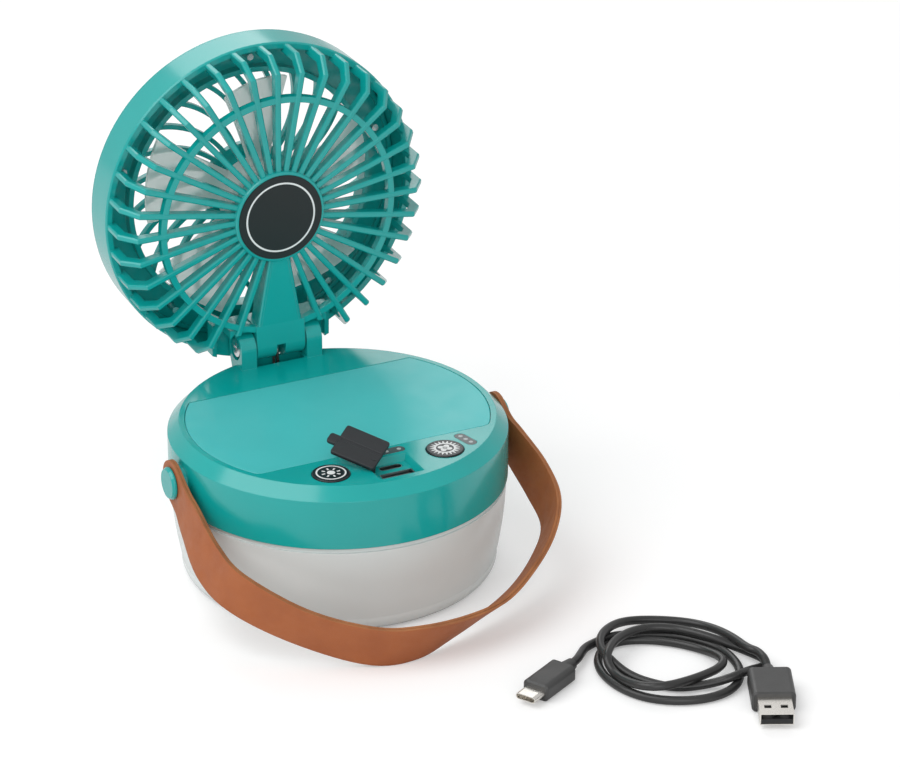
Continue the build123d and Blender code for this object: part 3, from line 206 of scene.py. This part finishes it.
leathers = {
    "leatherFace": {"colour": (0.41, 0.118, 0.033), "dark": (0.37, 0.102, 0.028), "pebble": 2600, "rough": 0.50},
    "leatherBack": {"colour": (0.36, 0.112, 0.031), "dark": (0.32, 0.094, 0.026), "pebble": 2200, "rough": 0.62},
    "leatherEdge": {"colour": (0.40, 0.150, 0.050), "dark": (0.30, 0.105, 0.035), "pebble": 4000, "rough": 0.65},
    # near-black leather colour for the middle layer: painted shade of the gap between the two layers
    "leatherGapShade": {"colour": (0.045, 0.020, 0.012), "dark": (0.030, 0.014, 0.009), "pebble": 4000, "rough": 0.7},
}


def newMaterial(name):
    material = bpy.data.materials.new(name)
    material.use_nodes = True
    tree = material.node_tree
    return material, tree, tree.nodes["Principled BSDF"]


def addNoise(tree, scale, detail):
    noise = tree.nodes.new("ShaderNodeTexNoise")
    noise.inputs["Scale"].default_value = scale
    noise.inputs["Detail"].default_value = detail
    place = tree.nodes.new("ShaderNodeTexCoord")
    tree.links.new(place.outputs["Object"], noise.inputs["Vector"])
    return noise


def addRamp(tree, source, low, high, start=0.3, end=0.7):
    ramp = tree.nodes.new("ShaderNodeValToRGB")
    ramp.color_ramp.elements[0].position = start
    ramp.color_ramp.elements[1].position = end
    ramp.color_ramp.elements[0].color = (*low, 1)
    ramp.color_ramp.elements[1].color = (*high, 1)
    tree.links.new(source, ramp.inputs["Fac"])
    return ramp.outputs["Color"]


def addBump(tree, source, height, shader, under=None):
    bump = tree.nodes.new("ShaderNodeBump")
    bump.inputs["Distance"].default_value = height
    bump.inputs["Strength"].default_value = 1.0
    tree.links.new(source, bump.inputs["Height"])
    if under:
        tree.links.new(under, bump.inputs["Normal"])
    tree.links.new(bump.outputs["Normal"], shader.inputs["Normal"])
    return bump.outputs["Normal"]


def addSoftEdges(tree, radius):
    # moulded edges catch the light as if slightly rounded
    edge = tree.nodes.new("ShaderNodeBevel")
    edge.samples = 6
    edge.inputs["Radius"].default_value = radius
    return edge.outputs["Normal"]


def mouldedFinish(name, values):
    material, tree, shader = newMaterial(name)
    shade = values["vary"]
    low = [channel * (1 - shade) for channel in values["colour"]]
    high = [min(channel * (1 + shade), 1) for channel in values["colour"]]
    cloud = addNoise(tree, mouldedTexture["cloud"], 3)
    tree.links.new(addRamp(tree, cloud.outputs["Fac"], low, high), shader.inputs["Base Color"])
    grain = addNoise(tree, values["grain"], 3)
    rounded = addSoftEdges(tree, values["edge"]) if "edge" in values else None
    addBump(tree, grain.outputs["Fac"], values["bump"], shader, rounded)
    rough = values["rough"]
    wear = addNoise(tree, mouldedTexture["wear"], 5)
    spread = mouldedTexture["spread"]
    patches = addRamp(tree, wear.outputs["Fac"], [rough * (1 - spread)] * 3, [rough * (1 + spread)] * 3)
    tree.links.new(patches, shader.inputs["Roughness"])
    shader.inputs["Metallic"].default_value = values.get("metal", 0)
    shader.inputs["Coat Weight"].default_value = values.get("coat", 0)
    shader.inputs["Coat Roughness"].default_value = mouldedTexture["coatRough"]
    return material


def clearBladeFinish(name, values):
    # frosted clear plastic that lets the ribs behind show through softly
    material, tree, shader = newMaterial(name)
    cloud = addNoise(tree, values["cloud"], 3)
    low = [channel * (1 - values["vary"]) for channel in values["tint"]]
    tree.links.new(addRamp(tree, cloud.outputs["Fac"], low, values["tint"]), shader.inputs["Base Color"])
    grain = addNoise(tree, values["grain"], 3)
    addBump(tree, grain.outputs["Fac"], values["bump"], shader)
    shader.inputs["Roughness"].default_value = values["rough"]
    shader.inputs["Transmission Weight"].default_value = values["clear"]
    shader.inputs["IOR"].default_value = values["bend"]
    return material


def leatherFinish(name, values):
    # vegetable-tanned leather: cloudy tan with a fine pebbled grain
    material, tree, shader = newMaterial(name)
    rough = values["rough"]
    cloud = addNoise(tree, 90, 6)
    tree.links.new(addRamp(tree, cloud.outputs["Fac"], values["dark"], values["colour"], 0.32, 0.62),
                   shader.inputs["Base Color"])
    pebble = tree.nodes.new("ShaderNodeTexVoronoi")
    pebble.inputs["Scale"].default_value = values["pebble"]
    place = tree.nodes.new("ShaderNodeTexCoord")
    tree.links.new(place.outputs["Object"], pebble.inputs["Vector"])
    first = addBump(tree, pebble.outputs["Distance"], 0.00006, shader)
    fine = addNoise(tree, 3000, 4)
    addBump(tree, fine.outputs["Fac"], 0.00003, shader, first)
    patch = addNoise(tree, 200, 4)
    tree.links.new(addRamp(tree, patch.outputs["Fac"], [rough * 0.85] * 3, [rough * 1.2] * 3),
                   shader.inputs["Roughness"])
    return material


materials = {name: mouldedFinish(name, values) for name, values in finishes.items()}
materials["clearBlade"] = clearBladeFinish("clearBlade", clearBlade)
materials.update({name: leatherFinish(name, values) for name, values in leathers.items()})

nodeFinish = {
    "tealGloss": ["top_cover", "front_grille", "rear_cover", "rivet_caps"],
    "tealSatin": ["top_plate"],
    "lampFrost": ["lamp_bowl"],
    "blackRubber": ["flap_pin", "usb_flap"],
    "wireTinned": ["hinge_wires"],
    "cableRubber": ["cable_coil", "cable_lead_c", "cable_lead_a"],
    "plugPlastic": ["usb_c_plug", "usb_a_plug"],
    "buttonBlack": ["light_button", "fan_button", "switches"],
    "badgeDark": ["badge"],
    "printWhite": ["badge_ring"],
    "windowSmoke": ["charge_window", "speed_window"],
    "screwSteel": ["hinge_screws", "strap_rivets", "tray_screws", "motor_screws", "cover_screws", "motor_shaft"],
    "shellSteel": ["usb_c_shell", "usb_a_shell"],
    "socketSteel": ["usb_a_socket", "usb_c_socket"],
    "motorSteel": ["motor"],
    "nylonWhite": ["hinge_washers", "inner_tray"],
    "boardGreen": ["lamp_board", "control_board"],
    "cellWrap": ["battery"],
    "solarBlue": ["solar_cell"],
    "lampYellow": ["lamps", "indicator_lamps"],
    "contactBlack": ["usb_a_insert"],
    "clearBlade": ["fan_wheel"],
    "leatherFace": ["strap"],
}


def setMaterial(piece, *names):
    piece.data.materials.clear()
    for name in names:
        piece.data.materials.append(materials[name])


for finish, members in nodeFinish.items():
    for member in members:
        setMaterial(nodes[member], finish)
setMaterial(cablePiece, "cableRubber")
print("finishes given to", sum(len(members) for members in nodeFinish.values()), "parts")

# carrying strap: two glued layers of leather with a thin near-black layer between them, painted shade of the
# narrow gap at the seam

strap = {
    "side": 0.0663,      # rivet to middle of the base
    "front": 0.0862,     # how far it reaches forward
    "pivot": 0.047,
    "width": 0.017,
    "layer": 0.00088,
    "seam": 0.00012,
    "seamInset": 0.0005,
    "hole": 0.00248,
    "steps": 132,
    "across": 8,
    "endColumns": 8,     # columns that make each rounded end
    "tipShare": 0.04,    # width left at the tip
    "sight": 0.004,      # how far ahead and behind the direction is taken
    # shares of side, front and pivot, then the lean to the right and forward in degrees
    "sections": [
        (-1.0, 0.0, 1.0, 0, 33), (-1.0, 0.09, 0.904, 0, 33), (-1.002, 0.18, 0.801, 7, 33),
        (-1.012, 0.387, 0.632, 17, 22), (-0.962, 0.608, 0.536, 10, 14), (-0.707, 0.814, 0.348, 6, 22),
        (-0.379, 0.955, 0.2, 1, 15), (-0.125, 1.0, 0.184, 0, 22), (0.137, 0.974, 0.208, 4, 40),
        (0.39, 0.92, 0.253, 8, 49), (0.62, 0.835, 0.349, 8, 43), (0.824, 0.717, 0.473, 10, 36),
        (0.974, 0.562, 0.589, 10, 25), (1.012, 0.374, 0.707, 14, 20), (1.006, 0.182, 0.835, 7, 23),
        (1.0, 0.09, 0.91, 0, 28), (1.0, 0.0, 1.0, 0, 28)],
}


def strapSection(values, row):
    across, forward, height, rightLean, frontLean = row
    place = Vector((across * values["side"], -forward * values["front"], height * values["pivot"]))
    lean = Vector((sin(radians(rightLean)), -sin(radians(frontLean)), cos(radians(frontLean))))
    return place, lean.normalized()


def smoothBetween(before, low, high, after, share):
    # even curve through four neighbours
    cube = (low * 3 - high * 3 + after - before) * 0.5
    square = (before * 2 - low * 5 + high * 4 - after) * 0.5
    slope = (high - before) * 0.5
    return ((cube * share + square) * share + slope) * share + low


def strapAt(values, along):
    # place and width direction at a share of the strap's sections, 0 to 1
    rows = [strapSection(values, row) for row in values["sections"]]
    step = min(along * (len(rows) - 1), len(rows) - 1.000001)
    index = int(step)
    near = [rows[min(max(index + offset, 0), len(rows) - 1)] for offset in (-1, 0, 1, 2)]
    share = step - index
    place = smoothBetween(*[entry[0] for entry in near], share)
    lean = smoothBetween(*[entry[1] for entry in near], share)
    return place, lean.normalized()


def addStrapLayer(name, values, offset, thickness, inset, finishNames):
    deselectAll()
    bpy.ops.mesh.primitive_grid_add(x_subdivisions=values["steps"], y_subdivisions=values["across"], size=1)
    piece = bpy.context.object
    piece.name = name
    half = values["width"] / 2 - inset
    ends, steps, sight = values["endColumns"], values["steps"], values["sight"]
    for vertex in piece.data.vertices:
        column = round((vertex.co.x + 0.5) * steps)
        share = vertex.co.y * 2
        beyond = 0.0
        width = half
        if column < ends or column > steps - ends:
            count = ends - column if column < ends else column - (steps - ends)
            turn = count / ends * pi / 2
            beyond = half * sin(turn) * (1 if column > steps - ends else -1)
            width = half * max(cos(turn), values["tipShare"])
        along = min(max((column - ends) / (steps - 2 * ends), 0), 1)
        place, lean = strapAt(values, along)
        ahead, _ = strapAt(values, min(along + sight, 1))
        behind, _ = strapAt(values, max(along - sight, 0))
        heading = (ahead - behind).normalized()
        lean = (lean - heading * lean.dot(heading)).normalized()
        outward = heading.cross(lean)
        vertex.co = place + heading * beyond + lean * width * share + outward * offset
    makeActive(piece)
    solidify = piece.modifiers.new("thickness", "SOLIDIFY")
    solidify.thickness = thickness
    solidify.offset = 0
    solidify.use_even_offset = True
    solidify.material_offset_rim = 1
    solidify.use_quality_normals = True
    setMaterial(piece, *finishNames)
    applyModifiers(piece)
    return piece


def drillStrap(piece, values):
    for side in (-1, 1):
        deselectAll()
        bpy.ops.mesh.primitive_cylinder_add(vertices=32, radius=values["hole"], depth=0.02,
                                            location=(side * values["side"], 0, values["pivot"]),
                                            rotation=(0, radians(90), 0))
        cutter = bpy.context.object
        applyPlace(cutter)
        cut = piece.modifiers.new("hole", "BOOLEAN")
        cut.operation = "DIFFERENCE"
        cut.solver = "EXACT"
        cut.object = cutter
        applyModifiers(piece)
        bpy.data.objects.remove(cutter)


def addStrap(values):
    shift = (values["layer"] + values["seam"]) / 2
    outer = addStrapLayer("strapOuter", values, shift, values["layer"], 0, ["leatherFace", "leatherEdge"])
    inner = addStrapLayer("strapInner", values, -shift, values["layer"], 0, ["leatherBack", "leatherEdge"])
    # middle layer, inset from the edges and coloured near-black: painted shade inside the gap between the layers
    seam = addStrapLayer("strapGapShade", values, 0, values["seam"] * 1.02, values["seamInset"],
                         ["leatherGapShade", "leatherGapShade"])
    for layer in (outer, inner, seam):
        drillStrap(layer, values)
    for layer in (outer, inner):
        softenEdges(layer, 0.00018, 2)
    piece = joinPieces([outer, inner, seam], "carryStrap")
    makeActive(piece)
    bpy.ops.object.shade_smooth_by_angle(angle=radians(40))
    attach(piece, "strap")
    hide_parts("strap")


addStrap(strap)
print("strap made")

# white signs printed on the two buttons

signs = {
    "print": 0.00005,         # thickness of the print
    "top": 0.0611,            # button tops
    "x": 0.0229,
    "y": -0.0439,
    "lightRing": (0.0050, 0.0056),
    "sun": 0.00150,
    "sunRays": 8,
    "sunRay": (0.0023, 0.0036, 0.00030, 0.00036),   # start, end, half widths
    "fanRing": (0.0033, 0.0041),
    "fanRays": 20,
    "fanRay": (0.0040, 0.0056, 0.00050, 0.00010),
    "rotorHub": 0.0008,
    "rotorBlades": 4,
    "rotorBlade": (0.00155, 0.00125, 0.00105),   # distance out, half length, half width
    "rotorTurn": 25,   # how far each blade is turned on itself, degrees
}


def flatRing(inner, outer, centre):
    deselectAll()
    bpy.ops.mesh.primitive_circle_add(vertices=64, radius=outer)
    ring = bpy.context.object
    bpy.ops.object.mode_set(mode="EDIT")
    bpy.ops.mesh.select_all(action="SELECT")
    bpy.ops.mesh.extrude_edges_move()
    share = inner / outer
    bpy.ops.transform.resize(value=(share, share, 1), center_override=(0, 0, 0))
    bpy.ops.object.mode_set(mode="OBJECT")
    ring.location = centre
    return ring


def flatDisc(radius, centre, stretch=(1, 1), turn=0.0, vertices=40):
    deselectAll()
    bpy.ops.mesh.primitive_circle_add(vertices=vertices, radius=radius, fill_type="NGON", location=centre,
                                      rotation=(0, 0, turn))
    bpy.context.object.scale = (stretch[0], stretch[1], 1)
    applyPlace(bpy.context.object)
    return bpy.context.object


def flatRays(count, ray, centre):
    start, end, nearHalf, farHalf = ray
    rays = []
    for number in range(count):
        deselectAll()
        bpy.ops.mesh.primitive_plane_add(size=1)
        strip = bpy.context.object
        for vertex in strip.data.vertices:
            far = vertex.co.x > 0
            half = farHalf if far else nearHalf
            vertex.co = (end if far else start, half if vertex.co.y > 0 else -half, 0)
        turn = 2 * pi * number / count
        strip.matrix_world = Matrix.Translation(centre) @ Matrix.Rotation(turn, 4, "Z")
        applyPlace(strip)
        rays.append(strip)
    return rays


def finishPrint(pieces, name, body, values):
    for piece in pieces:
        applyPlace(piece)
    sign = joinPieces(pieces, name)
    for polygon in sign.data.polygons:   # the print faces up
        if polygon.normal.z < 0:
            polygon.flip()
    thick = sign.modifiers.new("print", "SOLIDIFY")
    thick.thickness = values["print"]
    thick.offset = 1
    applyModifiers(sign)
    setMaterial(sign, "printWhite")
    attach(sign, body)


def addSigns(values):
    left = Vector((-values["x"], values["y"], values["top"]))
    right = Vector((values["x"], values["y"], values["top"]))
    light = [flatRing(*values["lightRing"], left), flatDisc(values["sun"], left)]
    light += flatRays(values["sunRays"], values["sunRay"], left)
    finishPrint(light, "lightSign", "light_button", values)
    fan = [flatRing(*values["fanRing"], right), flatDisc(values["rotorHub"], right)]
    fan += flatRays(values["fanRays"], values["fanRay"], right)
    out, length, width = values["rotorBlade"]
    for number in range(values["rotorBlades"]):
        turn = 2 * pi * (number + 0.5) / values["rotorBlades"]
        place = right + Vector((cos(turn), sin(turn), 0)) * out
        fan.append(flatDisc(length, place, (1, width / length), turn + radians(values["rotorTurn"]), 24))
    finishPrint(fan, "fanSign", "fan_button", values)


addSigns(signs)
print("button signs made")

# small light spots under the two indicator windows

windowDots = {
    "radius": 0.00082,
    "height": 0.00006,
    "top": 0.0606,
    "charge": {"centre": (0.0004, -0.0362), "turn": 0, "pitch": 0.005, "count": 4},
    "speed": {"centre": (0.0334, -0.0397), "turn": -77, "pitch": 0.003, "count": 3},
}


def addWindowDots(values):
    for name in ("charge", "speed"):
        row = values[name]
        dots = []
        for number in range(row["count"]):
            step = (number - (row["count"] - 1) / 2) * row["pitch"]
            turn = radians(row["turn"])
            place = (row["centre"][0] + step * cos(turn), row["centre"][1] + step * sin(turn), values["top"])
            dots.append(flatDisc(values["radius"], place, vertices=20))
        piece = joinPieces(dots, name + "Dots")
        thick = piece.modifiers.new("lens", "SOLIDIFY")
        thick.thickness = values["height"]
        thick.offset = 1
        applyModifiers(piece)
        setMaterial(piece, "windowDot")
        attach(piece, "base")


addWindowDots(windowDots)
print("indicator dots made")

# rubber flap over the charging sockets, swung out on its pin

flap = {
    "pivot": (-0.0068, -0.0450, 0.06072),
    "axis": (0.0758, -0.1877, 0.979),
    "lift": 0.0018,
    "turn": 132.7,
    "middle": (0.0068, -0.0030),
    "size": (0.0173, 0.0155, 0.0017),
    "corner": 0.0016,
    "padCorner": 0.00096,
    "edge": 0.0004,
    "ridge": 0.0007,          # half width of the fold line across the top
    "ridgeDrop": 0.0003,
    "tab": (0.0036, 0.0048, 0.0015),
    "tabShift": 0.0010,
    "tabCorner": 0.0012,
    "tabLap": 0.0014,
}


def roundUprights(piece, width, segments):
    # rounds the upright edges of a block
    makeActive(piece)
    bpy.ops.object.mode_set(mode="EDIT")
    bpy.ops.mesh.select_mode(type="EDGE")
    bpy.ops.mesh.select_all(action="DESELECT")
    bpy.ops.object.mode_set(mode="OBJECT")
    for edge in piece.data.edges:
        ends = [piece.data.vertices[index].co for index in edge.vertices]
        edge.select = abs(ends[0].z - ends[1].z) > 0.0002   # upright, not lying flat
    bpy.ops.object.mode_set(mode="EDIT")
    bpy.ops.mesh.bevel(offset=width, segments=segments, profile=0.5)
    bpy.ops.object.mode_set(mode="OBJECT")


def addBlock(middle, size):
    deselectAll()
    bpy.ops.mesh.primitive_cube_add(size=1, location=middle)
    block = bpy.context.object
    block.scale = size
    applyPlace(block)
    return block


def addFlap(values):
    length, depth, height = values["size"]
    across, along = values["middle"]
    ridge = values["ridge"]
    halves = []
    # two pads with a soft fold line between them, and the thin sheet that joins them
    for side in (-1, 1):
        half = depth / 2 - ridge
        pad = addBlock((across, along + side * (ridge + half / 2), height / 2), (length, half, height))
        roundUprights(pad, values["padCorner"], 5)
        softenEdges(pad, values["edge"], 4)
        halves.append(pad)
    sheetHeight = height - values["ridgeDrop"]
    sheet = addBlock((across, along, sheetHeight / 2), (length, depth, sheetHeight))
    roundUprights(sheet, values["corner"], 6)
    softenEdges(sheet, values["edge"], 4)
    tabLength, tabWidth, tabHeight = values["tab"]
    lap = values["tabLap"]
    tab = addBlock((across + length / 2 + (tabLength - lap) / 2, along + values["tabShift"], tabHeight / 2),
                   (tabLength + lap, tabWidth, tabHeight))
    roundUprights(tab, values["tabCorner"], 5)
    softenEdges(tab, values["edge"], 4)
    piece = joinPieces([sheet, *halves, tab], "rubberFlap")
    axis = Vector(values["axis"]).normalized()
    turned = Matrix.Rotation(radians(values["turn"]), 4, axis)
    piece.matrix_world = Matrix.Translation(Vector(values["pivot"]) + axis * values["lift"]) @ turned
    applyPlace(piece)
    bpy.ops.object.shade_smooth_by_angle(angle=radians(35))
    setMaterial(piece, "blackRubber")
    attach(piece, "usb_flap")
    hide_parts("usb_flap")


addFlap(flap)
print("flap made")

# floor, lamps and white surroundings

studio = {
    "floor": 8.0,
    "floorColour": (0.80, 0.80, 0.80),
    "floorGlow": 0.26,
    "world": 0.58,
    "aim": (0, 0, 0.06),
    "lamps": {
        "keyLamp": {"place": (-1.2, 0.0, 1.7), "size": 2.0, "power": 20},
        "fillLamp": {"place": (-0.7, -1.9, 0.9), "size": 1.6, "power": 10},
        "backLamp": {"place": (0.3, 1.5, 1.1), "size": 1.2, "power": 5},
    },
}


def addFloor(values):
    deselectAll()
    bpy.ops.mesh.primitive_plane_add(size=values["floor"], location=(0, 0, 0))
    floor = bpy.context.object
    floor.name = "studioFloor"
    material, tree, shader = newMaterial("studioFloor")
    cloud = addNoise(tree, 3, 2)
    colour = values["floorColour"]
    tree.links.new(addRamp(tree, cloud.outputs["Fac"], [channel * 0.99 for channel in colour], colour),
                   shader.inputs["Base Color"])
    shader.inputs["Roughness"].default_value = 0.9
    shader.inputs["Specular IOR Level"].default_value = 0.0
    rays = tree.nodes.new("ShaderNodeLightPath")
    glow = tree.nodes.new("ShaderNodeEmission")
    glow.inputs["Color"].default_value = (1, 1, 1, 1)
    strength = tree.nodes.new("ShaderNodeMath")
    strength.operation = "MULTIPLY"
    strength.inputs[1].default_value = values["floorGlow"]
    tree.links.new(rays.outputs["Is Camera Ray"], strength.inputs[0])
    tree.links.new(strength.outputs["Value"], glow.inputs["Strength"])
    both = tree.nodes.new("ShaderNodeAddShader")
    tree.links.new(shader.outputs["BSDF"], both.inputs[0])
    tree.links.new(glow.outputs["Emission"], both.inputs[1])
    tree.links.new(both.outputs["Shader"], tree.nodes["Material Output"].inputs["Surface"])
    floor.data.materials.append(material)


def addWorld(values):
    world = bpy.data.worlds.new("studioWorld")
    bpy.context.scene.world = world
    world.use_nodes = True
    tree = world.node_tree
    background = tree.nodes["Background"]
    background.inputs["Color"].default_value = (1, 1, 1, 1)
    rays = tree.nodes.new("ShaderNodeLightPath")
    seen = tree.nodes.new("ShaderNodeMath")
    seen.operation = "MAXIMUM"
    tree.links.new(rays.outputs["Is Camera Ray"], seen.inputs[0])
    tree.links.new(rays.outputs["Is Transmission Ray"], seen.inputs[1])
    strength = tree.nodes.new("ShaderNodeMapRange")
    strength.inputs["To Min"].default_value = values["world"]
    strength.inputs["To Max"].default_value = 1.0
    tree.links.new(seen.outputs["Value"], strength.inputs["Value"])
    tree.links.new(strength.outputs["Result"], background.inputs["Strength"])


def addLamp(name, values, aim):
    bpy.ops.object.light_add(type="AREA", location=values["place"])
    lamp = bpy.context.object
    lamp.name = name
    lamp.data.shape = "DISK"
    lamp.data.size = values["size"]
    lamp.data.energy = values["power"]
    heading = Vector(aim) - Vector(values["place"])
    lamp.rotation_euler = heading.to_track_quat("-Z", "Y").to_euler()


addFloor(studio)
addWorld(studio)
for name, values in studio["lamps"].items():
    addLamp(name, values, studio["aim"])
bpy.context.scene.view_settings.view_transform = "Standard"
print("studio ready")
